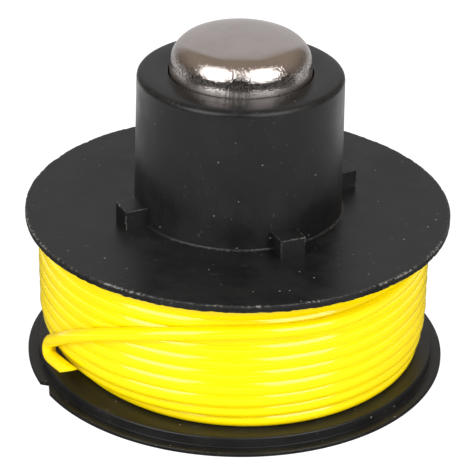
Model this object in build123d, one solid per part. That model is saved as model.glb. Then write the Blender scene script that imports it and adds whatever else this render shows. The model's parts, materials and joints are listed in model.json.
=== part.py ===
from build123d import *
from math import atan2, cos, radians, sin, sqrt, tan
import os

# Spool of cutting line for a grass trimmer: a black moulding with two flanges and a hollow
# knob, a pressed steel wear cap on the knob, and the line wound on the drum.
# Millimetres. Z runs up the spool's axis, and the origin is on that axis, in the plane that
# the lower flange stands on.

# Cutting line and its winding
line_d = 2.0                # diameter of the line
line_sides = 12             # flats that stand for the round of the line's outer end
turn_gap = 0.1              # between one turn and the next along the axis
turns = 10                  # turns in a full layer
layers = 5                  # layers of turns on the drum
layer_step = 1.7            # from one layer to the next, which lies in its grooves
crest_w = 0.9               # flat that stands for the round crest of each outer turn
groove_depth = 0.7          # depth of the groove between two outer turns
end_turn_inset = 1.4        # how far the lowest outer turn has slipped inwards
inset_turns = 4             # outer turns over which that slip dies out
winding_clearance = 0.05    # room between the drum and the first layer
winding_top_gap = 0.5       # between the top turns and the upper flange

# Wear cap, pressed from sheet
cap_r = 10.5                # outside radius of the skirt
cap_sheet = 0.8             # thickness of the sheet
cap_skirt_h = 4.15          # straight height of the skirt
cap_round_r = 4.2           # round between the skirt and the crown
cap_crown_r = 19.95         # radius of the domed crown

# Knob, which the cap is pressed into
knob_h = 21.7               # height above the upper flange
knob_rim_w = 4.62           # flat rim round the cap's seat
knob_draft = 1.0            # taper of the outside, in degrees
knob_wall = 2.92            # wall at the top of the knob
knob_edge = 0.5             # bevel on the top edge
knob_root = 0.3             # bevel in the corner at the upper flange
seat_depth = 3.0            # depth of the cap's seat
seat_gap = 0.2              # open gap round the cap
seat_web = 2.0              # floor under the seat
spigot_h = 4.0              # height of the spigot inside the cap
spigot_wall = 3.65          # wall of the spigot, which is cored from below
spigot_clearance = 0.05     # room between the spigot and the cap
spigot_edge = 0.5           # lead-in bevel on the spigot

# Drum and flanges
pocket_w = 3.1              # ring-shaped pocket between the hub and the drum wall
drum_wall = 2.0             # wall of the drum
flange_t = 1.1              # thickness of the upper flange
flange_lip = 2.45           # how far the upper flange stands out past the winding
flange_edge = 0.2           # bevel on the upper flange's edges
plate_t = 1.4               # thickness of the lower flange's plate
plate_lip = 0.95            # how far that plate stands out past the winding
plate_edge = 0.3            # bevel on the plate's edge
foot_h = 0.8                # height of the foot ring under the plate
foot_w = 1.6                # width of the foot ring
brim_t = 0.6                # thickness of the brim round the foot
brim_w = 1.6                # width of the brim
notch_w = 3.2               # notch in the brim, for parking the line's end
notch_depth = 1.0           # how far the notch reaches in from the brim's edge
notch_angle = -152.4        # where the notch is

# Lugs round the knob, and driving dogs in the pocket below
lug_count = 4
lug_angle = -64.8           # where the first lug is
lug_w = 4.0
lug_h = 2.95
lug_reach = 3.4             # how far a lug stands out of the knob
lug_edge = 0.2              # bevel on a lug's shown edges
dog_w = 4.0
dog_inset = 3.0             # how far the dogs lie inside the pocket's mouth
anchor_clearance = 0.2      # room round the line in its anchor hole
anchor_tail = 2.0           # how far the line's inner end reaches into the pocket

# The line's outer end: azimuth in degrees, how many line diameters the centre stands outside
# the winding's crests, and its height as a share of the way from the lowest to the topmost turn
line_end = [
    (-30.0, -0.525, 0.889),
    (-58.0, 0.450, 0.878),
    (-84.0, 0.575, 0.876),
    (-106.0, 0.625, 0.812),
    (-127.0, 0.600, 0.635),
    (-143.0, 0.525, 0.412),
    (-155.8, 0.425, 0.200),
    (-155.8, 0.475, 0.078),
    (-143.5, 0.475, 0.114),
]
bend_share = 0.9            # part of each run that the bends at its two ends take up

# Places worked out from the sizes above: radii from the axis outwards
cap_inner_r = cap_r - cap_sheet
spigot_r = cap_inner_r - spigot_clearance
core_r = spigot_r - spigot_wall
seat_r = cap_r + seat_gap
knob_top_r = seat_r + knob_rim_w
knob_r = knob_top_r + knob_h * tan(radians(knob_draft))
bore_r = knob_top_r - knob_wall
pocket_r = knob_r + pocket_w
drum_r = pocket_r + drum_wall
winding_inner_r = drum_r + winding_clearance
winding_r = winding_inner_r + line_d + (layers - 1) * layer_step
flange_r = winding_r + flange_lip
plate_r = winding_r + plate_lip
brim_r = plate_r + brim_w
foot_r = plate_r - foot_w

# Places worked out from the sizes above: heights from the bottom up
floor_z = foot_h + plate_t
turn_pitch = line_d + turn_gap
winding_h = (turns - 1) * turn_pitch + line_d
winding_top_z = floor_z + winding_h
flange_z = winding_top_z + winding_top_gap
flange_top_z = flange_z + flange_t
knob_z = flange_top_z + knob_h
seat_z = knob_z - seat_depth
bore_top_z = seat_z - seat_web
spigot_z = seat_z + spigot_h
core_z = spigot_z - seat_web
anchor_r = line_d / 2 + anchor_clearance
anchor_z = floor_z + anchor_r + anchor_clearance
anchor_angle = lug_angle + 180.0


def around(angle):
    """Placement turned about the spool's axis by an azimuth in degrees."""
    return Rot(0, 0, angle)


def turned(outline):
    """Solid turned about the axis from a face drawn as radius across and height up."""
    return revolve(Plane.XZ * outline, Axis.Z)


def bevelled(face, corner, size):
    """Face with the corner nearest to a (radius, height) point cut off."""
    vertex = face.vertices().sort_by_distance(Vector(*corner))[0]
    return chamfer(vertex, size)


def body_section():
    """Half section of the moulding, without its pocket, lugs and notch."""
    corners = [
        (bore_r, foot_h),
        (foot_r, foot_h),
        (foot_r, 0),
        (brim_r, 0),
        (brim_r, brim_t),
        (plate_r, brim_t),
        (plate_r, floor_z),
        (drum_r, floor_z),
        (drum_r, flange_z),
        (flange_r, flange_z),
        (flange_r, flange_top_z),
        (knob_r, flange_top_z),
        (knob_top_r, knob_z),
        (seat_r, knob_z),
        (seat_r, seat_z),
        (spigot_r, seat_z),
        (spigot_r, spigot_z),
        (0, spigot_z),
        (0, core_z),
        (core_r, core_z),
        (core_r, bore_top_z),
        (bore_r, bore_top_z),
    ]
    face = make_face(Polyline(*corners, close=True))
    flange_bevel = min(flange_edge, 0.45 * flange_t)
    face = bevelled(face, (plate_r, floor_z), min(plate_edge, 0.45 * (floor_z - brim_t)))
    face = bevelled(face, (flange_r, flange_z), flange_bevel)
    face = bevelled(face, (flange_r, flange_top_z), flange_bevel)
    face = bevelled(face, (knob_r, flange_top_z), knob_root)
    face = bevelled(face, (knob_top_r, knob_z), min(knob_edge, 0.45 * knob_rim_w))
    face = bevelled(face, (spigot_r, spigot_z), min(spigot_edge, 0.45 * spigot_wall))
    return face


def lug():
    """One block that stands on the upper flange against the knob."""
    root_r = knob_top_r - knob_wall / 2
    length = knob_r + lug_reach - root_r
    block = Pos(root_r, 0, flange_top_z - flange_t / 2) * Box(
        length, lug_w, flange_t / 2 + lug_h, align=(Align.MIN, Align.CENTER, Align.MIN)
    )
    outer_face = block.faces().sort_by(Axis.X)[-1]
    top_face = block.faces().sort_by(Axis.Z)[-1]
    shown = outer_face.edges().filter_by(Axis.Z) + top_face.edges().filter_by(Axis.X)
    shown += [outer_face.edges().sort_by(Axis.Z)[-1]]
    return chamfer(shown, min(lug_edge, 0.4 * lug_h, 0.4 * lug_w))


def pocket():
    """Ring-shaped pocket under the drum, with the driving dogs left standing in it."""
    depth = flange_z - foot_h
    ring = Cylinder(pocket_r, depth, align=(Align.CENTER, Align.CENTER, Align.MIN))
    ring -= Cylinder(knob_r, depth, align=(Align.CENTER, Align.CENTER, Align.MIN))
    dog = Pos(0, 0, dog_inset) * Box(
        pocket_r + drum_wall, dog_w, depth, align=(Align.MIN, Align.CENTER, Align.MIN)
    )
    for number in range(lug_count):
        ring -= around(lug_angle + (number + 0.5) * 360 / lug_count) * dog
    return Pos(0, 0, foot_h) * ring


def radial_rod(radius, start_r, end_r, angle, height):
    """Round rod that points straight out from the axis."""
    rod = Cylinder(radius, end_r - start_r, align=(Align.CENTER, Align.CENTER, Align.MIN))
    return around(angle) * Pos(start_r, 0, height) * Rot(0, 90, 0) * rod


def spool_body():
    """Black moulding: foot, flanges, drum, hollow knob, lugs, dogs and notch."""
    body = turned(body_section())
    for number in range(lug_count):
        body += around(lug_angle + number * 360 / lug_count) * lug()
    body -= pocket()
    notch = Pos(brim_r - notch_depth, 0, 0) * Box(
        2 * notch_depth, notch_w, 2 * brim_t, align=(Align.MIN, Align.CENTER, Align.CENTER)
    )
    body -= around(notch_angle) * notch
    body -= radial_rod(anchor_r, knob_r + pocket_w / 2, drum_r + line_d, anchor_angle, anchor_z)
    return body


def dome_points(radius, round_r, crown_r, round_z):
    """Points of a domed cap's outline, from the end of its skirt to its crown on the axis."""
    inset = radius - round_r
    centre_z = round_z - sqrt((crown_r - round_r) ** 2 - inset**2)
    meet = atan2(inset, round_z - centre_z)
    half_round = (meet + radians(90)) / 2
    return [
        (radius, round_z),
        (inset + round_r * sin(half_round), round_z + round_r * cos(half_round)),
        (crown_r * sin(meet), centre_z + crown_r * cos(meet)),
        (crown_r * sin(meet / 2), centre_z + crown_r * cos(meet / 2)),
        (0, centre_z + crown_r),
    ]


def bump_cap():
    """Pressed steel cap that stands on the seat, over the spigot; flats stand for its inner curves."""
    round_z = seat_z + cap_skirt_h
    outer = dome_points(cap_r, cap_round_r, cap_crown_r, round_z)
    inner = dome_points(cap_inner_r, cap_round_r - cap_sheet, cap_crown_r - cap_sheet, round_z)
    section = Line((cap_inner_r, seat_z), (cap_r, seat_z))
    section += Line((cap_r, seat_z), outer[0])
    section += ThreePointArc(*outer[:3])
    section += ThreePointArc(*outer[2:])
    section += Polyline(outer[-1], *reversed(inner), (cap_inner_r, seat_z))
    return turned(make_face(section))


def winding():
    """All turns on the drum as one ridged ring, with the lowest outer turns slipped inwards."""
    crests = [winding_r - end_turn_inset * max(0, 1 - number / inset_turns) for number in range(turns)]
    corners = [(winding_inner_r, floor_z), (crests[0] - groove_depth, floor_z)]
    for number, (crest_r, next_r) in enumerate(zip(crests, crests[1:] + crests[-1:])):
        crest_z = floor_z + line_d / 2 + number * turn_pitch
        corners.append((crest_r, crest_z - crest_w / 2))
        corners.append((crest_r, crest_z + crest_w / 2))
        groove_r = (crest_r + next_r) / 2 - groove_depth
        corners.append((groove_r, min(crest_z + turn_pitch / 2, winding_top_z)))
    corners.append((winding_inner_r, winding_top_z))
    return turned(make_face(Polyline(*corners, close=True)))


def line_end_path():
    """Route of the line's outer end: straight runs joined by tangent arcs."""
    points = []
    for angle, proud, share in line_end:
        height = floor_z + line_d / 2 + share * (winding_h - line_d)
        points.append(around(angle) * Pos(winding_r + proud * line_d, 0, height))
    points = [place.position for place in points]
    runs = [end - start for start, end in zip(points, points[1:])]
    slopes = [tan(radians(run.get_angle(after)) / 2) for run, after in zip(runs, runs[1:])]
    slopes = [0.0, *slopes, 0.0]
    limits = [bend_share * run.length / (low + high) for run, low, high in zip(runs, slopes, slopes[1:])]
    radii = [min(limit, after) for limit, after in zip(limits, limits[1:])]
    return FilletPolyline(*points, radius=radii)


def trimmer_line():
    """The line: its winding, the end laid across the turns, and the end in the anchor hole."""
    route = line_end_path()
    section = Plane(origin=route @ 0, z_dir=route % 0) * RegularPolygon(line_d / 2, line_sides)
    line = winding() + sweep(section, path=route)
    line += radial_rod(line_d / 2, pocket_r - anchor_tail, winding_inner_r + line_d, anchor_angle, anchor_z)
    return line


nodes = {
    "spool_body": spool_body(),
    "bump_cap": bump_cap(),
    "trimmer_line": trimmer_line(),
}
os.makedirs("parts", exist_ok=True)
for name, solid in nodes.items():
    export_step(solid, f"parts/{name}.step")
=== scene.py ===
"""Looks of a trimmer line spool: black moulding, plated wear cap and wound yellow line."""

import json
import logging
import math
from dataclasses import dataclass
from enum import Enum
from functools import partial, reduce
from typing import Iterator, Mapping, Optional, Sequence, Union

import bmesh
import bpy
from mathutils import Matrix, Vector, noise


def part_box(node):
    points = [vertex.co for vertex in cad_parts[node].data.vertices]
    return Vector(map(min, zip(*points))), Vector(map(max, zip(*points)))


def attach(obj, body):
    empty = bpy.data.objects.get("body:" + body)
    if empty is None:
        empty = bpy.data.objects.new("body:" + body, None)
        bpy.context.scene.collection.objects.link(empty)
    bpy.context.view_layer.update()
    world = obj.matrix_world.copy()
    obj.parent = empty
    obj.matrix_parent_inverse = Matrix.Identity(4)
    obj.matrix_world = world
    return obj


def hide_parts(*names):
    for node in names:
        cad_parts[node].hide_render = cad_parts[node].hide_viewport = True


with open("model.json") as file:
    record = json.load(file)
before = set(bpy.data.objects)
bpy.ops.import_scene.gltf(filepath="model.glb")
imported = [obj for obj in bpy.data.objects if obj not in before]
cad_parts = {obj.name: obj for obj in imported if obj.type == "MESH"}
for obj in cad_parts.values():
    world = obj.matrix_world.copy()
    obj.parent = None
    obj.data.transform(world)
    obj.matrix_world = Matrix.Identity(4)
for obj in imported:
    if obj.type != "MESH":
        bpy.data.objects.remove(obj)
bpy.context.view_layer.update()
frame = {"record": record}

MM = 0.001                      # one millimetre in the scene's metres
WELD = 0.0005 * MM              # points closer than this are merged
FULL_TURN = 2.0 * math.pi
UP = Vector((0.0, 0.0, 1.0))
WORN_EDGE = "worn_edge"         # face attribute that marks the rounds of a block
LOG = logging.getLogger("trimmer_line_spool")

BMesh = bmesh.types.BMesh
Socket = bpy.types.NodeSocket
Colour = tuple[float, float, float, float]
Feed = Union[float, Sequence[float], Socket]


class Finish(Enum):
    """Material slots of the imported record."""

    BLACK_MOULDING = "black_moulding"
    PLATED_STEEL = "plated_steel"
    YELLOW_LINE = "yellow_line"


@dataclass(frozen=True)
class Corner:
    """One corner of a turned outline, in millimetres.

    Attributes:
        radius: Distance from the spool's axis.
        height: Height above the floor.
        rounding: Size of the round on the corner, or 0 for a sharp one.
    """

    radius: float
    height: float
    rounding: float = 0.0


def polar(radius: float, azimuth: float, height: float) -> Vector:
    """Return the point in metres at a radius and height in millimetres and an azimuth in degrees."""
    angle = math.radians(azimuth)
    return Vector((radius * math.cos(angle), radius * math.sin(angle), height)) * MM


def smoothstep(value: float) -> float:
    """Return 0 to 1 with a soft start and end, for a value that runs from 0 to 1."""
    share = min(max(value, 0.0), 1.0)
    return share * share * (3.0 - 2.0 * share)


def spin_round(mesh: BMesh, steps: int, arc: float = FULL_TURN) -> None:
    """Spin an outline about the spool's axis and turn the faces outwards.

    Args:
        mesh: Mesh that holds the outline.
        steps: Number of steps round the axis.
        arc: Angle of the spin in radians; a part turn gets closed ends.
    """
    bmesh.ops.spin(
        mesh, geom=mesh.verts[:] + mesh.edges[:], cent=(0.0, 0.0, 0.0), axis=UP,
        angle=arc, steps=steps, use_merge=arc == FULL_TURN,
    )
    bmesh.ops.remove_doubles(mesh, verts=mesh.verts[:], dist=WELD)
    if arc < FULL_TURN:
        bmesh.ops.holes_fill(mesh, edges=mesh.edges[:], sides=0)
    bmesh.ops.recalc_face_normals(mesh, faces=mesh.faces[:])


def turned(corners: Sequence[Corner], steps: int, arc: float = FULL_TURN, ring: bool = False) -> BMesh:
    """Turn a solid from the corners of its outline.

    Args:
        corners: Outline from its first to its last corner.
        steps: Number of steps round the axis.
        arc: Angle of the turn in radians.
        ring: Whether the outline is a closed loop.

    Returns:
        The turned mesh.
    """
    segments_per_round = 4
    mesh = bmesh.new()
    points = [mesh.verts.new((corner.radius * MM, 0.0, corner.height * MM)) for corner in corners]
    followers = points[1:] + points[:1] if ring else points[1:]
    for start, end in zip(points, followers):
        mesh.edges.new((start, end))
    for corner, point in zip(corners, points):
        if corner.rounding:
            bmesh.ops.bevel(
                mesh, geom=[point], offset=corner.rounding * MM, offset_type="OFFSET",
                segments=segments_per_round, profile=0.5, affect="VERTICES", material=-1,
            )
    spin_round(mesh, steps, arc)
    return mesh


def block(low: Vector, high: Vector, bevel: float) -> BMesh:
    """Make a box with rounded edges.

    Args:
        low: Lowest corner in millimetres.
        high: Highest corner in millimetres.
        bevel: Size of the round on every edge in millimetres.

    Returns:
        The box as a mesh in metres.
    """
    mesh = bmesh.new()
    centre = (low + high) / 2.0 * MM
    place = Matrix.Translation(centre) @ Matrix.Diagonal(((high - low) * MM).to_4d())
    bmesh.ops.create_cube(mesh, size=1.0, matrix=place)
    worn = mesh.faces.layers.float.new(WORN_EDGE)
    rounds = bmesh.ops.bevel(
        mesh, geom=mesh.edges[:], offset=bevel * MM, offset_type="OFFSET",
        segments=3, profile=0.5, affect="EDGES", material=-1,
    )
    for face in rounds["faces"]:
        face[worn] = 1.0
    return mesh


def merge(target: BMesh, part: BMesh, place: Matrix = Matrix.Identity(4)) -> None:
    """Add a part to a mesh and free the part.

    Args:
        target: Mesh that takes the part.
        part: Mesh to add.
        place: Where the part goes.
    """
    bmesh.ops.transform(part, matrix=place, verts=part.verts[:])
    carrier = bpy.data.meshes.new("carrier")
    part.to_mesh(carrier)
    part.free()
    target.from_mesh(carrier)
    bpy.data.meshes.remove(carrier)


def cut_off(
    mesh: BMesh, verts: Sequence[bmesh.types.BMVert], place: Vector, normal: Sequence[float],
) -> None:
    """Cut a part of a mesh along a plane, drop what is beyond it and close the cut.

    Args:
        mesh: Mesh to cut.
        verts: Vertices of the part that the plane may cut.
        place: A point of the plane.
        normal: Direction of the side that is dropped.
    """
    near = set(verts)
    faces = [face for face in mesh.faces if near.issuperset(face.verts)]
    parts = dict.fromkeys(item for face in faces for item in (face, *face.edges, *face.verts))
    bmesh.ops.bisect_plane(mesh, geom=list(parts), plane_co=place, plane_no=normal, clear_outer=True)
    bmesh.ops.holes_fill(mesh, edges=mesh.edges[:], sides=0)


def placed(name: str, data: bpy.types.ID) -> bpy.types.Object:
    """Add an object to the scene.

    Args:
        name: Name of the object.
        data: Its mesh, curve, lamp or camera.

    Returns:
        The object.
    """
    item = bpy.data.objects.new(name, data)
    bpy.context.scene.collection.objects.link(item)
    return item


def finished(
    name: str, mesh: bpy.types.Mesh, node: str, finish: Finish, material: bpy.types.Material,
) -> bpy.types.Object:
    """Put a mesh into the scene as the piece that stands for a CAD node.

    Args:
        name: Name of the piece.
        mesh: Its mesh, already in place.
        node: CAD node that it stands for.
        finish: Slot of the record for its finish; not used.
        material: Material that it shows.

    Returns:
        The piece.
    """
    piece = placed(name, mesh)
    mesh.materials.clear()
    mesh.materials.append(material)
    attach(piece, "root")
    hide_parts(node)
    return piece


def shaded(mesh: BMesh, name: str, sharp_angle: float) -> bpy.types.Mesh:
    """Turn a bmesh into a smoothly shaded mesh.

    Args:
        mesh: The bmesh, which is freed.
        name: Name of the new mesh.
        sharp_angle: Angle in degrees from which an edge stays sharp.

    Returns:
        The mesh.
    """
    result = bpy.data.meshes.new(name)
    mesh.to_mesh(result)
    mesh.free()
    result.shade_smooth()
    result.set_sharp_from_angle(angle=math.radians(sharp_angle))
    return result


class ShaderSketch:
    """Adds and joins the nodes of one shader tree."""

    def __init__(self, tree: bpy.types.NodeTree) -> None:
        """Take a node tree and empty it."""
        self.tree = tree
        self.tree.nodes.clear()

    def add(
        self, kind: str, inputs: Optional[Mapping[Union[int, str], Feed]] = None, **settings: object,
    ) -> bpy.types.Node:
        """Add a node.

        Args:
            kind: Type name of the node.
            inputs: What its inputs take, by name or number.
            **settings: Properties to set on it.

        Returns:
            The node.
        """
        node = self.tree.nodes.new(kind)
        for name, value in settings.items():
            setattr(node, name, value)
        for key, value in (inputs or {}).items():
            self.feed(node.inputs[key], value)
        return node

    def feed(self, socket: Socket, value: Feed) -> None:
        """Join a socket to another one, or set its plain value.

        Args:
            socket: Input to feed.
            value: Output to join, or a value.
        """
        if isinstance(value, Socket):
            self.tree.links.new(value, socket)
        else:
            socket.default_value = value

    def maths(self, operation: str, *values: Feed) -> Socket:
        """Add a Math node and return its output."""
        return self.add("ShaderNodeMath", dict(enumerate(values)), operation=operation).outputs[0]

    def product(self, *values: Feed) -> Socket:
        """Multiply two or more values and return the output."""
        return reduce(partial(self.maths, "MULTIPLY"), values)

    def largest(self, *values: Feed) -> Socket:
        """Return the largest of two or more values."""
        return reduce(partial(self.maths, "MAXIMUM"), values)

    def place(self, kind: str) -> tuple[Socket, Sequence[Socket]]:
        """Read the coordinates of a place.

        Args:
            kind: Which of the texture coordinates.

        Returns:
            The coordinates as a vector, and as three numbers.
        """
        vector = self.add("ShaderNodeTexCoord").outputs[kind]
        return vector, self.add("ShaderNodeSeparateXYZ", {"Vector": vector}).outputs[:]

    def length(self, first: Feed, second: Feed) -> Socket:
        """Return the length of a flat vector from its two parts."""
        squares = [self.maths("POWER", part, 2.0) for part in (first, second)]
        return self.maths("SQRT", self.maths("ADD", *squares))

    def step(self, value: Feed, start: float, end: float, low: float = 0.0, high: float = 1.0) -> Socket:
        """Add a soft step from one level to another.

        Args:
            value: Input value.
            start: Input at which the step starts.
            end: Input at which it ends; it may be below start.
            low: Level at the start.
            high: Level at the end.

        Returns:
            The level.
        """
        if start > end:
            start, end, low, high = end, start, high, low
        inputs = dict(enumerate((value, start, end, low, high)))
        return self.add("ShaderNodeMapRange", inputs, interpolation_type="SMOOTHSTEP").outputs[0]

    def near(self, value: Feed, centre: float, reach: float) -> Socket:
        """Return an output that is 1 at a centre value and falls to 0 within a reach of it."""
        gap = self.maths("ABSOLUTE", self.maths("SUBTRACT", value, centre))
        return self.step(gap, 0.0, reach, 1.0, 0.0)

    def noise(self, vector: Feed, scale: float, detail: float = 3.0, roughness: float = 0.5) -> Socket:
        """Add a Noise Texture, with its scale in features per metre, and return its value."""
        inputs = {"Vector": vector, "Scale": scale, "Detail": detail, "Roughness": roughness}
        return self.add("ShaderNodeTexNoise", inputs).outputs[0]

    def mapped(self, vector: Feed, turn: Sequence[float], scale: Sequence[float]) -> Socket:
        """Turn coordinates by angles in radians, scale them along each axis and return them."""
        inputs = {"Vector": vector, "Rotation": turn, "Scale": scale}
        return self.add("ShaderNodeMapping", inputs).outputs[0]

    def blend(self, factor: Feed, first: Feed, second: Feed) -> Socket:
        """Mix two colours.

        Args:
            factor: Share of the second colour.
            first: First colour.
            second: Second colour.

        Returns:
            The mixed colour.
        """
        node = self.add("ShaderNodeMix", {0: factor}, data_type="RGBA")
        colours = [socket for socket in node.inputs if socket.type == "RGBA"]
        for socket, colour in zip(colours, (first, second)):
            self.feed(socket, colour)
        return next(socket for socket in node.outputs if socket.type == "RGBA")

    def bump(self, height: Feed, distance: float, strength: float) -> Socket:
        """Bump the surface, with the depth in metres of a height of 1, and return the normal."""
        inputs = {"Height": height, "Distance": distance, "Strength": strength}
        return self.add("ShaderNodeBump", inputs).outputs[0]

    def specks(self, vector: Feed, scale: float, size: float, share: float) -> Socket:
        """Scatter small round specks.

        Args:
            vector: Coordinates.
            scale: Cells per metre, each with one speck at most.
            size: Radius of a large speck, as a part of a cell.
            share: Part of the cells that have a speck.

        Returns:
            1 on a speck and 0 beside it.
        """
        cells = self.add("ShaderNodeTexVoronoi", {"Vector": vector, "Scale": scale})
        parts = self.add("ShaderNodeSeparateColor", {"Color": cells.outputs["Color"]})
        chosen = self.maths("LESS_THAN", parts.outputs[0], share)
        radius = self.maths("MULTIPLY_ADD", parts.outputs[1], 0.7 * size, 0.3 * size)
        inside = self.maths("LESS_THAN", cells.outputs["Distance"], radius)
        return self.product(chosen, inside)

    def surface(self, **inputs: Feed) -> None:
        """Add the Principled shader and the output.

        Args:
            **inputs: Its inputs, with _ for a space.
        """
        named = {name.replace("_", " "): value for name, value in inputs.items()}
        shader = self.add("ShaderNodeBsdfPrincipled", named)
        self.add("ShaderNodeOutputMaterial", {"Surface": shader.outputs[0]})


def new_material(name: str) -> tuple[bpy.types.Material, ShaderSketch]:
    """Make an empty node material.

    Args:
        name: Name of the material.

    Returns:
        The material and the sketch of its tree.
    """
    material = bpy.data.materials.new(name)
    material.use_nodes = True
    return material, ShaderSketch(material.node_tree)


@dataclass(frozen=True)
class MouldedPlastic:
    """Black moulded plastic with dust, scuffs and chipped edges.

    Attributes:
        colour: Colour of the plastic.
        dust: Colour of dust and of chipped edges.
        roughness: Roughness of the clean surface.
        shine: Specular level of the surface.
        grain: Size of the fine surface grain in millimetres.
        film: Share of dust in the cloudy film.
        patches: How much smoother and rougher its patches are.
        polish: How much smoother the knob's top is.
        thin_dust: Strength of the marks on the knob.
    """

    colour: Colour = (0.0082, 0.0082, 0.0086, 1.0)
    dust: Colour = (0.36, 0.35, 0.33, 1.0)
    roughness: float = 0.36
    shine: float = 0.32
    grain: float = 0.35
    film: float = 0.020
    patches: tuple[float, float] = (-0.07, 0.08)
    polish: float = 0.08
    thin_dust: float = 0.6

    def material(self, body: "SpoolBody") -> bpy.types.Material:
        """Build the material for one body.

        Args:
            body: The moulding, whose sizes place the wear.

        Returns:
            The material.
        """
        material, sketch = new_material(Finish.BLACK_MOULDING.value)
        place, (across, behind, height) = sketch.place("Object")
        wear = self.wear(sketch, body, place, sketch.length(across, behind), height)
        low, high = (body.flange_top_z + 0.3) * MM, (body.flange_top_z + 1.5) * MM
        settled = sketch.step(height, low, high, 1.0, self.thin_dust)
        marks = sketch.largest(wear, sketch.product(self.dust_and_scuffs(sketch, place), settled))
        cloud = sketch.noise(place, 140.0, 4.0, 0.6)
        tone = sketch.blend(sketch.step(cloud, 0.35, 0.75, 0.0, self.film), self.colour, self.dust)
        fine = sketch.noise(place, 1.0 / (self.grain * MM), 3.0, 0.55)
        clean = sketch.step(cloud, 0.3, 0.7, *(self.roughness + change for change in self.patches))
        polished = sketch.step(height, (body.knob_z - 0.1) * MM, body.knob_z * MM, 0.0, self.polish)
        clean = sketch.maths("SUBTRACT", clean, polished)
        relief = sketch.maths("ADD", sketch.product(fine, 0.5), sketch.product(wear, 0.6))
        sketch.surface(
            Base_Color=sketch.blend(marks, tone, self.dust),
            Roughness=sketch.maths("ADD", clean, sketch.product(marks, 0.25)),
            Specular_IOR_Level=self.shine,
            Normal=sketch.bump(relief, 0.03 * MM, 0.35),
        )
        return material

    def wear(
        self, sketch: ShaderSketch, body: "SpoolBody", place: Socket, radius: Socket, height: Socket,
    ) -> Socket:
        """Pale wear along the rims.

        Args:
            sketch: Tree to add to.
            body: The moulding.
            place: Object coordinates.
            radius: Distance from the axis.
            height: Height above the floor.

        Returns:
            Strength of the wear from 0 to 1.
        """
        chips = sketch.step(sketch.noise(place, 1900.0, 4.0, 0.7), 0.46, 0.61)
        patches = sketch.step(sketch.noise(place, 170.0, 2.0, 0.5), 0.40, 0.62, 0.14, 1.0)
        places = (
            (body.flange_r - 0.05, 0.42, body.flange_top_z - 0.06, 0.32, 0.70),
            (body.flange_r, 0.25, body.flange_z + 0.15, 0.25, 0.16),
            (body.knob_top_r - 0.15, 0.60, body.knob_z - 0.20, 0.50, 0.10),
            (body.seat_r + 0.10, 0.35, body.knob_z - 0.05, 0.30, 0.22),
            (body.knob_r + 0.15, 0.35, body.flange_top_z + 0.10, 0.30, 0.11),
            (body.brim_r - 0.10, 0.30, body.brim_t - 0.10, 0.40, 0.05),
        )
        corners = sketch.add("ShaderNodeAttribute", attribute_name=WORN_EDGE)
        worn = sketch.product(corners.outputs["Fac"], 0.45)
        for at_r, reach_r, at_z, reach_z, strength in places:
            edge = sketch.product(
                sketch.near(radius, at_r * MM, reach_r * MM),
                sketch.near(height, at_z * MM, reach_z * MM),
                strength,
            )
            worn = sketch.largest(worn, edge)
        return sketch.product(worn, chips, patches)

    def dust_and_scuffs(self, sketch: ShaderSketch, place: Socket) -> Socket:
        """Dust specks and short fine scratches.

        Args:
            sketch: Tree to add to.
            place: Object coordinates.

        Returns:
            Strength of the marks from 0 to 1.
        """
        marks = [
            sketch.product(sketch.specks(place, scale, size, share), strength)
            for scale, size, share, strength in (
                (480.0, 0.075, 1.0, 0.62), (900.0, 0.09, 0.45, 0.30), (1500.0, 0.12, 0.5, 0.12),
            )
        ]
        for angle in (0.35, 1.45, 2.6):
            turn = (0.0, 0.0, angle)
            lines = sketch.noise(sketch.mapped(place, turn, (420.0, 5200.0, 900.0)), 1.0, 1.0)
            sparse = sketch.noise(sketch.mapped(place, turn, (210.0, 330.0, 330.0)), 1.0, 1.0)
            marks.append(sketch.product(
                sketch.step(lines, 0.70, 0.76), sketch.step(sparse, 0.62, 0.70), 0.14,
            ))
        return sketch.largest(*marks)


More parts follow.
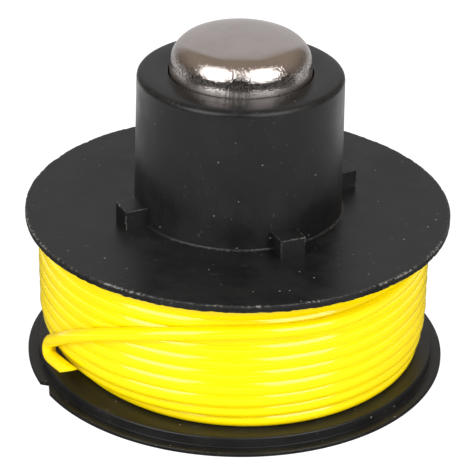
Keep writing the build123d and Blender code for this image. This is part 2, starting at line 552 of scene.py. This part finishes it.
@dataclass(frozen=True)
class PlatedSteel:
    """Nickel-plated pressed steel.

    Attributes:
        colour: Colour of the plating.
        stain: Colour of its duller places.
        painted_dark_reflection: Colour of fine dark specks painted in a band of the drawn round, a
            painted reflection of the dark room in front.
        roughness: Roughness of the plating.
        grain: Depth of the grain on the drawn round, in millimetres.
        lip: How far the skirt's foot seems to flare, in millimetres.
        brush: Depth of the brush marks on that foot, in millimetres.
        lip_roughness: How much rougher that foot is.
    """

    colour: Colour = (0.66, 0.60, 0.575, 1.0)
    stain: Colour = (0.61, 0.555, 0.53, 1.0)
    painted_dark_reflection: Colour = (0.10, 0.09, 0.085, 1.0)
    roughness: float = 0.12
    grain: float = 0.042
    lip: float = 0.21
    brush: float = 0.08
    lip_roughness: float = 0.26

    def material(self, cap: "BumpCap") -> bpy.types.Material:
        """Build the plating, with a grain on the drawn round that breaks up its highlights.

        Args:
            cap: The cap, whose height places the grain.

        Returns:
            The material.
        """
        material, sketch = new_material(Finish.PLATED_STEEL.value)
        place, (_, _, height) = sketch.place("Object")

        def band(start: float, end: float, low: float = 0.0, high: float = 1.0) -> Socket:
            """Step between two depths below the cap's top, in millimetres."""
            return sketch.step(height, (cap.top_z - start) * MM, (cap.top_z - end) * MM, low, high)

        drawn = sketch.product(band(1.6, 2.7, 0.06, 1.0), band(3.9, 4.7, 1.0, 0.4))
        grain = sketch.noise(place, 5900.0, 0.0, 0.5)
        cloud = sketch.step(sketch.noise(place, 260.0, 3.0, 0.6), 0.35, 0.75)
        # Painted dark reflection: dark specks in a band of the drawn round stand in for the dark room
        # that the round mirrors.
        painted_reflection_specks = sketch.step(sketch.noise(place, 4800.0, 0.0, 0.5), 0.36, 0.50, 0.80, 0.0)
        painted_reflection_specks = sketch.product(painted_reflection_specks, band(3.1, 4.4), band(5.0, 5.5, 1.0, 0.5))
        lip = band(4.9, 6.5)
        brushed = sketch.noise(sketch.mapped(place, (0.0, 0.0, 0.0), (2600.0, 2600.0, 260.0)), 1.0, 1.0)
        relief = sketch.maths(
            "ADD", sketch.product(grain, drawn, self.grain),
            sketch.product(lip, sketch.maths("MULTIPLY_ADD", brushed, self.brush, self.lip)),
        )
        plating = sketch.blend(cloud, self.colour, self.stain)
        sketch.surface(
            Base_Color=sketch.blend(painted_reflection_specks, plating, self.painted_dark_reflection),
            Metallic=1.0,
            Roughness=sketch.maths(
                "MULTIPLY_ADD", lip, self.lip_roughness,
                sketch.step(cloud, 0.0, 1.0, self.roughness, self.roughness + 0.03),
            ),
            Normal=sketch.bump(relief, MM, 1.0),
        )
        return material


@dataclass(frozen=True)
class NylonLine:
    """Glossy yellow nylon.

    Attributes:
        colour: Colour of the nylon.
        deep: Slightly warmer colour of its uneven places.
        skin_roughness: Roughness of its glossy skin.
        skin_ior: Index of refraction of that skin.
        softness: How far light spreads from turn to turn, in millimetres.
    """

    colour: Colour = (1.0, 0.77, 0.0005, 1.0)
    deep: Colour = (1.0, 0.75, 0.0005, 1.0)
    skin_roughness: float = 0.15
    skin_ior: float = 1.54
    softness: float = 0.90

    def material(self) -> bpy.types.Material:
        """Build the nylon.

        Returns:
            The material.
        """
        material, sketch = new_material(Finish.YELLOW_LINE.value)
        place = sketch.add("ShaderNodeTexCoord").outputs["Object"]
        cloud = sketch.noise(place, 220.0, 3.0, 0.55)
        soft = sketch.add("ShaderNodeBevel", {"Radius": self.softness * MM}, samples=16)
        sketch.surface(
            Base_Color=sketch.blend(sketch.step(cloud, 0.35, 0.7), self.colour, self.deep),
            Roughness=0.6,
            Specular_IOR_Level=0.0,
            Coat_Weight=1.0,
            Coat_Roughness=self.skin_roughness,
            Coat_IOR=self.skin_ior,
            Normal=soft.outputs[0],
        )
        return material


@dataclass
class SpoolBody:
    """Black moulding with two flanges, a drum, a hollow knob and four lugs, in millimetres."""

    brim_r: float
    spigot_z: float
    bore_r: float
    steps: int = 640
    foot_r: float = 29.0
    foot_h: float = 0.8
    brim_t: float = 0.6
    plate_r: float = 30.6
    floor_z: float = 2.2
    drum_r: float = 20.8
    pocket_r: float = 18.8
    flange_r: float = 32.1
    flange_z: float = 23.6
    flange_top_z: float = 24.7
    knob_r: float = 15.7
    knob_top_r: float = 15.32
    knob_z: float = 46.4
    seat_r: float = 10.7
    seat_z: float = 43.4
    spigot_r: float = 9.65
    bore_top_z: float = 41.4
    core_r: float = 6.0
    core_z: float = 45.4
    lug_azimuth: float = -64.8
    lug_count: int = 4
    lug_w: float = 4.0
    lug_r: float = 19.1
    lug_z: float = 27.65
    lug_round: float = 0.2
    dog_z: float = 3.8
    notch_start: float = -155.0
    notch_apex: float = -153.5
    notch_end: float = -148.9
    notch_depth: float = 1.0
    rim_w: float = 0.5
    rim_burr: float = 0.15

    def build(self) -> bpy.types.Mesh:
        """Model the moulding.

        Returns:
            Its mesh.
        """
        mesh = turned(self.outline(), self.steps)
        self.roughen_rim(mesh)
        merge(mesh, self.brim())
        for number in range(self.lug_count):
            turn = math.radians(self.lug_azimuth + 360.0 * number / self.lug_count)
            merge(mesh, self.lug(), Matrix.Rotation(turn, 4, "Z"))
            turn += math.radians(180.0 / self.lug_count)
            merge(mesh, self.dog(), Matrix.Rotation(turn, 4, "Z"))
        return shaded(mesh, "spool_body_looks", 35.0)

    def outline(self) -> list[Corner]:
        """Draw the half section, from the spigot's top round to the core's top.

        Returns:
            Its corners.
        """
        step_z = self.brim_t - 0.02
        step_r = self.brim_r - self.notch_depth
        rows = (
            (0.0, self.spigot_z),
            (self.spigot_r, self.spigot_z, 0.5),
            (self.spigot_r, self.seat_z),
            (self.seat_r, self.seat_z),
            (self.seat_r, self.knob_z, 0.15),
            (self.knob_top_r, self.knob_z, 0.9),
            (self.knob_r, self.flange_top_z, 0.35),
            (self.flange_r - self.rim_w, self.flange_top_z),
            (self.flange_r, self.flange_top_z, 0.14),
            (self.flange_r, self.flange_z, 0.14),
            (self.flange_r - self.rim_w, self.flange_z),
            (self.drum_r, self.flange_z),
            (self.drum_r, self.floor_z),
            (self.plate_r, self.floor_z, 0.3),
            (self.plate_r, step_z, 0.1),
            (step_r, step_z),
            (step_r, 0.0),
            (self.foot_r, 0.0),
            (self.foot_r, self.foot_h),
            (self.pocket_r, self.foot_h, 0.2),
            (self.pocket_r, self.flange_z),
            (self.knob_r, self.flange_z),
            (self.knob_r, self.foot_h, 0.2),
            (self.bore_r, self.foot_h, 0.2),
            (self.bore_r, self.bore_top_z),
            (self.core_r, self.bore_top_z),
            (self.core_r, self.core_z),
            (0.0, self.core_z),
        )
        return [Corner(*row) for row in rows]

    def roughen_rim(self, mesh: BMesh) -> None:
        """Give the upper flange's rim its chipped upper edge and torn lower edge.

        Args:
            mesh: The turned moulding.
        """
        edge_r = self.flange_r - 0.3
        long_wave, short_wave = 2.3 * MM, 0.6 * MM
        upper_share = 0.35
        middle = (self.flange_z + self.flange_top_z) / 2.0 * MM
        for vert in mesh.verts:
            reach = vert.co.to_2d().length / MM
            if reach > edge_r and abs(vert.co.z - middle) < self.flange_top_z - self.flange_z:
                torn = noise.noise(vert.co / long_wave) + noise.noise(vert.co / short_wave)
                share = 1.0 if vert.co.z < middle else upper_share
                vert.co.z -= share * torn * self.rim_burr * MM
                vert.co.xy *= 1.0 - 0.5 * max(torn, 0.0) * self.rim_burr / self.flange_r

    def brim(self) -> BMesh:
        """Model the outer part of the brim, with two slanted cuts for the notch.

        Returns:
            The brim as a mesh.
        """
        overlap = 0.3
        inside = self.brim_r - self.notch_depth - overlap
        corners = [
            Corner(inside, 0.0),
            Corner(self.brim_r, 0.0, 0.05),
            Corner(self.brim_r, self.brim_t, 0.15),
            Corner(inside, self.brim_t),
        ]
        slit = 0.01 / self.brim_r
        reach = 4.5 * MM
        ring = turned(corners, self.steps, FULL_TURN - slit, ring=True)
        turn = Matrix.Rotation(math.radians(self.notch_apex) + slit / 2.0, 4, "Z")
        bmesh.ops.transform(ring, matrix=turn, verts=ring.verts[:])
        apex = polar(self.brim_r - self.notch_depth, self.notch_apex, 0.0)
        along = polar(1.0, self.notch_apex + 90.0, 0.0).normalized()
        for azimuth in (self.notch_start, self.notch_end):
            side = math.copysign(1.0, azimuth - self.notch_apex)
            rim = polar(self.brim_r, azimuth, 0.0)
            near = [
                vert for vert in ring.verts
                if (vert.co - rim).length < reach and side * (vert.co - apex).dot(along) > 0.0
            ]
            cut_off(ring, near, apex, side * (rim - apex).cross(UP))
        bmesh.ops.recalc_face_normals(ring, faces=ring.faces[:])
        return ring

    def lug(self) -> BMesh:
        """Model one lug on the side of +X and return it."""
        low = Vector((self.knob_top_r - 1.5, -self.lug_w / 2.0, self.flange_top_z - 0.6))
        return block(low, Vector((self.lug_r, self.lug_w / 2.0, self.lug_z)), self.lug_round)

    def dog(self) -> BMesh:
        """Model one driving dog in the pocket on the side of +X and return it."""
        low = Vector((self.knob_r - 0.5, -self.lug_w / 2.0, self.dog_z))
        high = Vector((self.pocket_r + 0.5, self.lug_w / 2.0, self.flange_z + 0.5))
        return block(low, high, self.lug_round)

    def dress(self, mesh: bpy.types.Mesh) -> bpy.types.Object:
        """Finish the moulding.

        Args:
            mesh: Its mesh.

        Returns:
            The piece.
        """
        material = MouldedPlastic().material(self)
        piece = finished("spool_moulding", mesh, "spool_body", Finish.BLACK_MOULDING, material)
        even = piece.modifiers.new("even_shading", "WEIGHTED_NORMAL")
        even.keep_sharp = True
        return piece


@dataclass
class BumpCap:
    """Domed wear cap of plated sheet steel, in millimetres."""

    top_z: float
    seat_z: float
    radius: float
    sheet: float = 0.8
    round_r: float = 4.2
    crown_r: float = 19.95
    steps: int = 256

    def build(self) -> bpy.types.Mesh:
        """Model the cap.

        Returns:
            Its mesh.
        """
        inset = self.radius - self.round_r
        crown_z = self.top_z - self.crown_r
        meet = math.asin(inset / (self.crown_r - self.round_r))
        round_z = crown_z + (self.crown_r - self.round_r) * math.cos(meet)
        mesh = bmesh.new()
        tip = mesh.verts.new((0.0, 0.0, self.top_z * MM))
        tip = self.arc(mesh, tip, (0.0, crown_z), meet, 24)
        tip = self.arc(mesh, tip, (inset, round_z), math.pi / 2.0 - meet, 20)
        skirt = bmesh.ops.extrude_vert_indiv(mesh, verts=[tip])["verts"]
        bmesh.ops.translate(mesh, verts=skirt, vec=UP * (self.seat_z - round_z) * MM)
        spin_round(mesh, self.steps)
        if max(mesh.faces, key=lambda face: face.calc_center_median().z).normal.z < 0.0:
            bmesh.ops.reverse_faces(mesh, faces=mesh.faces[:])
        bmesh.ops.solidify(mesh, geom=mesh.faces[:], thickness=self.sheet * MM)
        return shaded(mesh, "bump_cap_looks", 40.0)

    @staticmethod
    def arc(
        mesh: BMesh, start: bmesh.types.BMVert, centre: tuple[float, float], angle: float, steps: int,
    ) -> bmesh.types.BMVert:
        """Draw an arc of the outline from a point.

        Args:
            mesh: Mesh that holds the outline.
            start: Point that the arc starts from.
            centre: Radius and height of the arc's centre.
            angle: Angle of the arc in radians.
            steps: Number of its steps.

        Returns:
            Its last point.
        """
        drawn = bmesh.ops.spin(
            mesh, geom=[start], cent=(centre[0] * MM, 0.0, centre[1] * MM), axis=(0.0, 1.0, 0.0),
            angle=angle, steps=steps,
        )
        return next(item for item in drawn["geom_last"] if isinstance(item, bmesh.types.BMVert))

    def dress(self, mesh: bpy.types.Mesh) -> bpy.types.Object:
        """Finish the cap and return the piece."""
        return finished("wear_cap", mesh, "bump_cap", Finish.PLATED_STEEL, PlatedSteel().material(self))


@dataclass(frozen=True)
class Layer:
    """One hidden layer of turns, in millimetres.

    Attributes:
        radius: Distance of its centre line from the axis.
        start_z: Height at which it starts.
        end_z: Height at which it ends.
        turns: Number of its turns.
    """

    radius: float
    start_z: float
    end_z: float
    turns: int


@dataclass
class TrimmerLine:
    """Yellow line wound on the drum, with its outer end laid across the turns, in millimetres."""

    diameter: float = 2.04
    end_girth: float = 1.2
    girth: float = 1.6
    side_girth: float = 0.8
    side_start: float = 28.0
    side_arc: float = 36.0
    thin_levels: float = 2.0
    drop_start: float = 110.0
    drop_arc: float = 90.0
    drop_inset: float = 0.15
    lead_inset: float = 0.4
    lead_arc: float = 40.0
    front_turn: float = 90.0
    sides: int = 16
    points_per_turn: int = 24
    hidden: tuple[Layer, ...] = (
        Layer(21.85, 3.4, 22.0, 10),
        Layer(23.55, 22.0, 3.4, 10),
        Layer(25.25, 3.3, 22.1, 10),
        Layer(26.90, 22.1, 8.2, 7),
    )
    crest_r: float = 29.77
    outer_shift: float = -0.45
    low_shift: float = 0.2
    low_z: float = 3.42
    pitch: float = 2.06
    outer_levels: int = 10
    outer_start: float = -20.0
    climb_start: float = -100.0
    climb_arc: float = 90.0
    slip: float = 1.4
    slip_levels: float = 3.0
    tuck: float = 1.3
    tuck_azimuth: float = 146.0
    tuck_arc: float = 70.0
    spread: float = 0.06
    end_route: tuple[tuple[float, float, float], ...] = (
        (-14.0, 28.60, 19.90),
        (-30.0, 28.85, 19.85),
        (-45.0, 29.60, 19.70),
        (-58.0, 30.30, 19.60),
        (-70.0, 30.65, 19.65),
        (-83.0, 30.70, 19.75),
        (-100.0, 30.75, 19.2),
        (-116.0, 30.80, 17.4),
        (-130.0, 30.80, 14.8),
        (-141.5, 30.75, 11.8),
        (-150.0, 30.65, 8.9),
        (-155.8, 30.50, 7.1),
        (-156.0, 30.60, 4.7),
        (-150.5, 30.60, 5.1),
        (-138.0, 30.70, 5.5),
        (-130.0, 30.60, 5.7),
    )
    cut_place: tuple[float, float, float] = (-141.9, 30.7, 5.8)
    cut_normal: tuple[float, float, float] = (0.232, -0.440, -0.868)
    cut_rings: int = 14
    anchor_azimuth: float = 115.2
    anchor_z: float = 3.6
    anchor_r: float = 16.8

    def build(self) -> bpy.types.Mesh:
        """Model the line as two splines that meet inside the winding.

        Returns:
            Its mesh.
        """
        inner = [polar(self.anchor_r, self.anchor_azimuth, self.anchor_z)]
        inner += [polar(self.hidden[0].radius - 1.6, self.anchor_azimuth, self.anchor_z)]
        azimuth = self.anchor_azimuth
        for layer in self.hidden[:-1]:
            inner += self.layer_route(layer, azimuth)
            azimuth -= 360.0 * layer.turns
        last = list(self.layer_route(self.hidden[-1], azimuth))
        azimuth -= 360.0 * self.hidden[-1].turns
        last += self.run_out(azimuth)
        shown, girths = zip(*self.outer_route())
        loose = [polar(radius, turn, height) for turn, radius, height in self.end_route]
        curve = bpy.data.curves.new("line_route", "CURVE")
        curve.dimensions = "3D"
        curve.bevel_depth = self.diameter / 2.0 * MM
        curve.bevel_resolution = self.sides // 2 - 2
        self.add_spline(curve, inner + last[:2], [1.0] * (len(inner) + 2), 2)
        thickness = [1.0] * len(last) + [*girths] + [1.0] * len(loose)
        self.add_spline(curve, [*last, *shown, *loose], thickness, 6)
        carrier = placed("line_route", curve)
        graph = bpy.context.evaluated_depsgraph_get()
        drawn = bpy.data.meshes.new_from_object(carrier.evaluated_get(graph))
        mesh = bmesh.new()
        mesh.from_mesh(drawn)
        bpy.data.objects.remove(carrier)
        bpy.data.curves.remove(curve)
        bpy.data.meshes.remove(drawn)
        self.trim(mesh)
        return shaded(mesh, "trimmer_line_looks", 50.0)

    @staticmethod
    def add_spline(
        curve: bpy.types.Curve, points: Sequence[Vector], girths: Sequence[float], resolution: int,
    ) -> None:
        """Add a smooth spline through the spans of its control points.

        Args:
            curve: Curve that takes the spline.
            points: Control points.
            girths: Thickness at each point, as a part of the line's.
            resolution: Steps per span.
        """
        spline = curve.splines.new("NURBS")
        spline.points.add(len(points) - 1)
        for point, place, girth in zip(spline.points, points, girths):
            point.co = (*place, 1.0)
            point.radius = girth
        spline.order_u = 3
        spline.use_endpoint_u = True
        spline.resolution_u = resolution

    def control_r(self, radius: float) -> float:
        """Return the control radius at which the spline runs at a given radius."""
        step = FULL_TURN / self.points_per_turn
        return radius / (0.75 + 0.25 * math.cos(step))

    def wander(self, turn: float, azimuth: float, side: float) -> float:
        """Small unevenness of a hand-laid turn.

        Args:
            turn: Number of the turn.
            azimuth: Angle about the axis in degrees.
            side: Which of the two directions it is for.

        Returns:
            Offset in millimetres.
        """
        waves, turn_gap, side_gap = 1.3, 7.7, 31.0
        angle = math.radians(azimuth)
        level = turn_gap * turn + side_gap * side
        seed = Vector((waves * math.cos(angle), waves * math.sin(angle), level))
        return self.spread * 2.0 * noise.noise(seed)

    def layer_route(self, layer: Layer, azimuth: float) -> Iterator[Vector]:
        """Yield the control points of a hidden layer.

        Args:
            layer: The layer.
            azimuth: Azimuth at which it starts, in degrees.

        Yields:
            Each control point.
        """
        count = layer.turns * self.points_per_turn
        for number in range(count):
            height = layer.start_z + (layer.end_z - layer.start_z) * number / (count - 1)
            turn = 360.0 * number / self.points_per_turn
            yield polar(self.control_r(layer.radius), azimuth - turn, height)

    def run_out(self, azimuth: float) -> Iterator[Vector]:
        """Yield the control points from the last hidden layer down to the first outer turn.

        Args:
            azimuth: Azimuth at which that layer ends, in degrees.

        Yields:
            Each control point.
        """
        last = self.hidden[-1]
        radius = self.control_r(last.radius - self.lead_inset)
        left = (azimuth + self.outer_start) % 360.0
        count = round(left / 360.0 * self.points_per_turn)
        for number in range(count):
            height = last.end_z + (self.low_z - last.end_z) * smoothstep(number / count)
            yield polar(radius, azimuth - left * number / count, height)

    def outer_route(self) -> Iterator[tuple[Vector, float]]:
        """Yield the outer layer, whose turns each climb along one stretch and tuck in at the bottom.

        Yields:
            Each control point, and the thickness there.
        """
        step = 360.0 / self.points_per_turn
        travel = self.outer_start
        while travel < 360.0 * self.outer_levels:
            turn = travel // 360.0
            level = sum(
                smoothstep((travel - 360.0 * number - self.climb_start) / self.climb_arc)
                for number in range(1, self.outer_levels)
            )
            drop = smoothstep((travel - 360.0 * self.outer_levels + self.drop_start) / self.drop_arc)
            low = max(0.0, 1.0 - level / self.slip_levels) ** 2
            tucked = smoothstep(1.0 - abs(travel % 360.0 - self.tuck_azimuth) / self.tuck_arc)
            inset = low * (self.slip + self.tuck * tucked)
            lead = 1.0 - smoothstep((travel - self.outer_start) / self.lead_arc)
            inset += self.lead_inset * lead + self.drop_inset * drop
            thick = smoothstep(level / self.thin_levels)
            girth = self.end_girth + (self.girth - self.end_girth) * thick
            off_front = abs(travel % 360.0 - self.front_turn)
            girth += self.side_girth * smoothstep((off_front - self.side_start) / self.side_arc) * thick
            girth += (1.0 - girth) * drop
            radius = self.crest_r - girth * self.diameter / 2.0 - inset + self.wander(turn, travel, 0.0)
            height = self.low_z + self.pitch * (level - drop) + 0.6 * self.wander(turn, travel, 1.0)
            aside = self.outer_shift + (self.low_shift - self.outer_shift) * low
            yield polar(self.control_r(radius), -travel, height) + Vector((aside * MM, 0.0, 0.0)), girth
            travel += step

    def trim(self, mesh: BMesh) -> None:
        """Cut the line's outer end off at a slant and close the ends.

        Args:
            mesh: Mesh of the line.
        """
        azimuth, radius, height = self.cut_place
        mesh.verts.ensure_lookup_table()
        loose = mesh.verts[-self.cut_rings * self.sides:]
        cut_off(mesh, loose, polar(radius, azimuth, height), self.cut_normal)

    def dress(self, mesh: bpy.types.Mesh) -> bpy.types.Object:
        """Finish the line and return the piece."""
        return finished("wound_line", mesh, "trimmer_line", Finish.YELLOW_LINE, NylonLine().material())


@dataclass(frozen=True)
class PhotoCamera:
    """Camera at the viewing angle of the photograph.

    Attributes:
        distance: Distance to the point that it looks at, in millimetres.
        target_z: Height of that point in millimetres.
        elevation: Angle above the floor in degrees.
        pitch: Small turn up or down in degrees.
        yaw: Small turn sideways in degrees.
        roll: Small turn about the line of sight in degrees.
        focal: Focal length in pixels of the frame.
        frame: Width of the frame in pixels.
        sensor: Width of the sensor in millimetres.
    """

    distance: float = 319.4
    target_z: float = 22.0
    elevation: float = 26.90
    pitch: float = 0.516
    yaw: float = 0.010
    roll: float = -1.338
    focal: float = 2101.3
    frame: float = 475.0
    sensor: float = 36.0

    def build(self) -> None:
        """Add the camera to the scene."""
        rise = math.radians(self.elevation)
        back = Vector((0.0, -math.cos(rise), math.sin(rise)))
        right = Vector((1.0, 0.0, 0.0))
        level = Matrix((right, back.cross(right), back))
        turn = Matrix.Identity(3)
        for angle, axis in ((self.roll, "Z"), (self.pitch, "X"), (self.yaw, "Y")):
            turn = turn @ Matrix.Rotation(math.radians(angle), 3, axis)
        data = bpy.data.cameras.new("photo_camera")
        data.sensor_fit = "HORIZONTAL"
        data.sensor_width = self.sensor
        data.lens = self.focal / self.frame * self.sensor
        data.clip_start = 0.01
        camera = placed("photo_camera", data)
        place = (turn @ level).transposed().to_4x4()
        place.translation = (Vector((0.0, 0.0, self.target_z)) + self.distance * back) * MM
        camera.matrix_world = place
        bpy.context.scene.camera = camera


@dataclass(frozen=True)
class Softbox:
    """Rectangular studio lamp that faces the object.

    Attributes:
        name: Its name.
        azimuth: Its direction from the object in degrees.
        elevation: Its height above the floor in degrees.
        distance: Its distance in metres.
        width: Its width in metres.
        height: Its height in metres.
        radiance: Brightness of its face.
    """

    name: str
    azimuth: float
    elevation: float
    distance: float = 0.9
    width: float = 0.58
    height: float = 0.64
    radiance: float = 4.9

    def build(self) -> None:
        """Add the lamp to the scene."""
        data = bpy.data.lights.new(self.name, "AREA")
        data.shape = "RECTANGLE"
        data.size = self.width
        data.size_y = self.height
        data.energy = self.radiance * math.pi * self.width * self.height
        lamp = placed(self.name, data)
        rise = math.radians(self.elevation)
        level = self.distance * math.cos(rise) / MM
        place = polar(level, self.azimuth, self.distance * math.sin(rise) / MM)
        lamp.location = place
        lamp.rotation_euler = place.to_track_quat("Z", "Y").to_euler()


@dataclass
class Studio:
    """Pale floor, soft room light and two softboxes.

    Attributes:
        backdrop: Light of the pale sheet behind the object.
        room: Light of the room above and beside it.
        front: Light of the dim room in front.
        fill: Even light of the room on matt surfaces.
        floor_size: Half the floor's width in metres.
        floor_gap: How far it lies below the foot, in millimetres.
        lit_ring: Distances in metres at which the floor's mirror image brightens and dims again.
        front_dim: Brightness of that image inside and outside the ring, in front.
        back_dim: Brightness of it outside the ring, behind.
        lamps: The softboxes.
    """

    backdrop: Colour = (0.54, 0.53, 0.53, 1.0)
    room: Colour = (0.33, 0.275, 0.225, 1.0)
    front: Colour = (0.05, 0.047, 0.045, 1.0)
    fill: Colour = (0.46, 0.445, 0.42, 1.0)
    floor_size: float = 3.0
    floor_gap: float = 0.02
    lit_ring: tuple[float, float, float, float] = (0.075, 0.105, 0.14, 0.20)
    front_dim: float = 0.10
    back_dim: float = 0.52
    lamps: tuple[Softbox, ...] = (
        Softbox("left_softbox", -132.0, 31.0), Softbox("right_softbox", -50.5, 33.0),
    )

    def build(self) -> None:
        """Add the floor, the room light and the lamps."""
        bpy.context.scene.view_settings.view_transform = "Standard"
        self.floor()
        self.surroundings()
        for lamp in self.lamps:
            lamp.build()

    def floor(self) -> None:
        """Add the floor."""
        mesh = bmesh.new()
        bmesh.ops.create_grid(mesh, x_segments=1, y_segments=1, size=self.floor_size)
        surface = bpy.data.meshes.new("studio_floor")
        mesh.to_mesh(surface)
        mesh.free()
        surface.materials.append(self.floor_material())
        floor = placed("studio_floor", surface)
        floor.location.z = -self.floor_gap * MM

    def floor_material(self) -> bpy.types.Material:
        """Build the white floor, which keeps a soft shadow and is open to a view from below.

        Returns:
            The material.
        """
        glow = 0.93
        shadow_share = 0.20
        albedo = 0.92
        rear_edge = (-0.06, 0.10)
        material, sketch = new_material("studio_floor")
        _, (aside, behind, _) = sketch.place("Object")
        reach = sketch.length(aside, behind)
        outside = sketch.step(reach, *self.lit_ring[:2])
        ring = sketch.product(outside, sketch.step(reach, *self.lit_ring[2:], 1.0, 0.0))
        rear = sketch.product(sketch.step(behind, *rear_edge), outside)
        dim = sketch.step(rear, 0.0, 1.0, self.front_dim, self.back_dim)
        path = sketch.add("ShaderNodeLightPath").outputs
        lit = sketch.largest(path["Is Camera Ray"], ring, dim)
        seen = sketch.largest(*(path[f"Is {kind} Ray"] for kind in ("Camera", "Glossy", "Transmission")))
        plain = sketch.add("ShaderNodeBsdfDiffuse", {"Color": (albedo, albedo, albedo, 1.0)})
        shade = sketch.add("ShaderNodeBsdfDiffuse", {"Color": sketch.product(lit, shadow_share)})
        light = sketch.add("ShaderNodeEmission", {"Strength": sketch.product(lit, glow)})
        white = sketch.add("ShaderNodeAddShader", {0: shade.outputs[0], 1: light.outputs[0]})
        sheet = sketch.add("ShaderNodeMixShader", {0: seen, 1: plain.outputs[0], 2: white.outputs[0]})
        below = sketch.add("ShaderNodeNewGeometry").outputs["Backfacing"]
        clear = sketch.add("ShaderNodeBsdfTransparent").outputs[0]
        floor = sketch.add("ShaderNodeMixShader", {0: below, 1: sheet.outputs[0], 2: clear})
        sketch.add("ShaderNodeOutputMaterial", {"Surface": floor.outputs[0]})
        return material

    def surroundings(self) -> None:
        """Light the scene by direction: a pale sheet behind, a dim front and a warm room elsewhere."""
        sheet_side = 0.68
        sheet_shift = 0.10
        sheet_top = 2.6
        sheet_edge = (-0.16, 0.14)
        front_edge = (-0.10, -0.50)
        front_top = (0.75, 0.55)
        low_room = (0.65, 0.0, 0.0, 0.7)
        white = (1.0, 1.0, 1.0, 1.0)
        world = bpy.data.worlds.new("studio_room")
        world.use_nodes = True
        bpy.context.scene.world = world
        sketch = ShaderSketch(world.node_tree)
        _, (aside, behind, above) = sketch.place("Generated")
        offset = sketch.maths("MULTIPLY_ADD", behind, sheet_shift, aside)
        side = sketch.maths("DIVIDE", sketch.maths("ABSOLUTE", offset), sheet_side)
        edge = sketch.largest(side, sketch.maths("DIVIDE", above, sheet_top))
        sheet = sketch.step(sketch.maths("SUBTRACT", behind, edge), *sheet_edge)
        ahead = sketch.product(sketch.step(behind, *front_edge), sketch.step(above, *front_top))
        path = sketch.add("ShaderNodeLightPath").outputs
        colour: Feed = self.room
        for share, light in (
            (sketch.step(above, *low_room), self.front),
            (sheet, self.backdrop),
            (ahead, self.front),
            (path["Is Diffuse Ray"], self.fill),
            (path["Is Camera Ray"], white),
        ):
            colour = sketch.blend(share, colour, light)
        sky = sketch.add("ShaderNodeBackground", {"Color": colour})
        sketch.add("ShaderNodeOutputWorld", {"Surface": sky.outputs[0]})


def spool_parts() -> list[Union[SpoolBody, BumpCap, TrimmerLine]]:
    """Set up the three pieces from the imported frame.

    Returns:
        The moulding, the cap and the line.
    """
    body_low, body_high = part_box("spool_body")
    cap_low, cap_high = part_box("bump_cap")
    bore = next(mount for mount in frame["record"]["mounts"] if mount["kind"] == "bore")
    reach = min(-body_low[0], -body_low[1], body_high[0], body_high[1])
    hair = 0.002
    body = SpoolBody(
        brim_r=float(reach) / MM - hair, spigot_z=float(body_high[2]) / MM,
        bore_r=float(bore["dims"]["r_mm"]),
    )
    cap = BumpCap(
        top_z=float(cap_high[2]) / MM, seat_z=float(cap_low[2]) / MM, radius=float(cap_high[0]) / MM,
    )
    return [body, cap, TrimmerLine()]


def main() -> None:
    """Build the pieces and the studio."""
    logging.basicConfig(level=logging.INFO, format="%(message)s")
    for part in spool_parts():
        piece = part.dress(part.build())
        LOG.info("%s: %d faces", piece.name, len(piece.data.polygons))
    Studio().build()
    PhotoCamera().build()


if __name__ == "__main__":
    main()
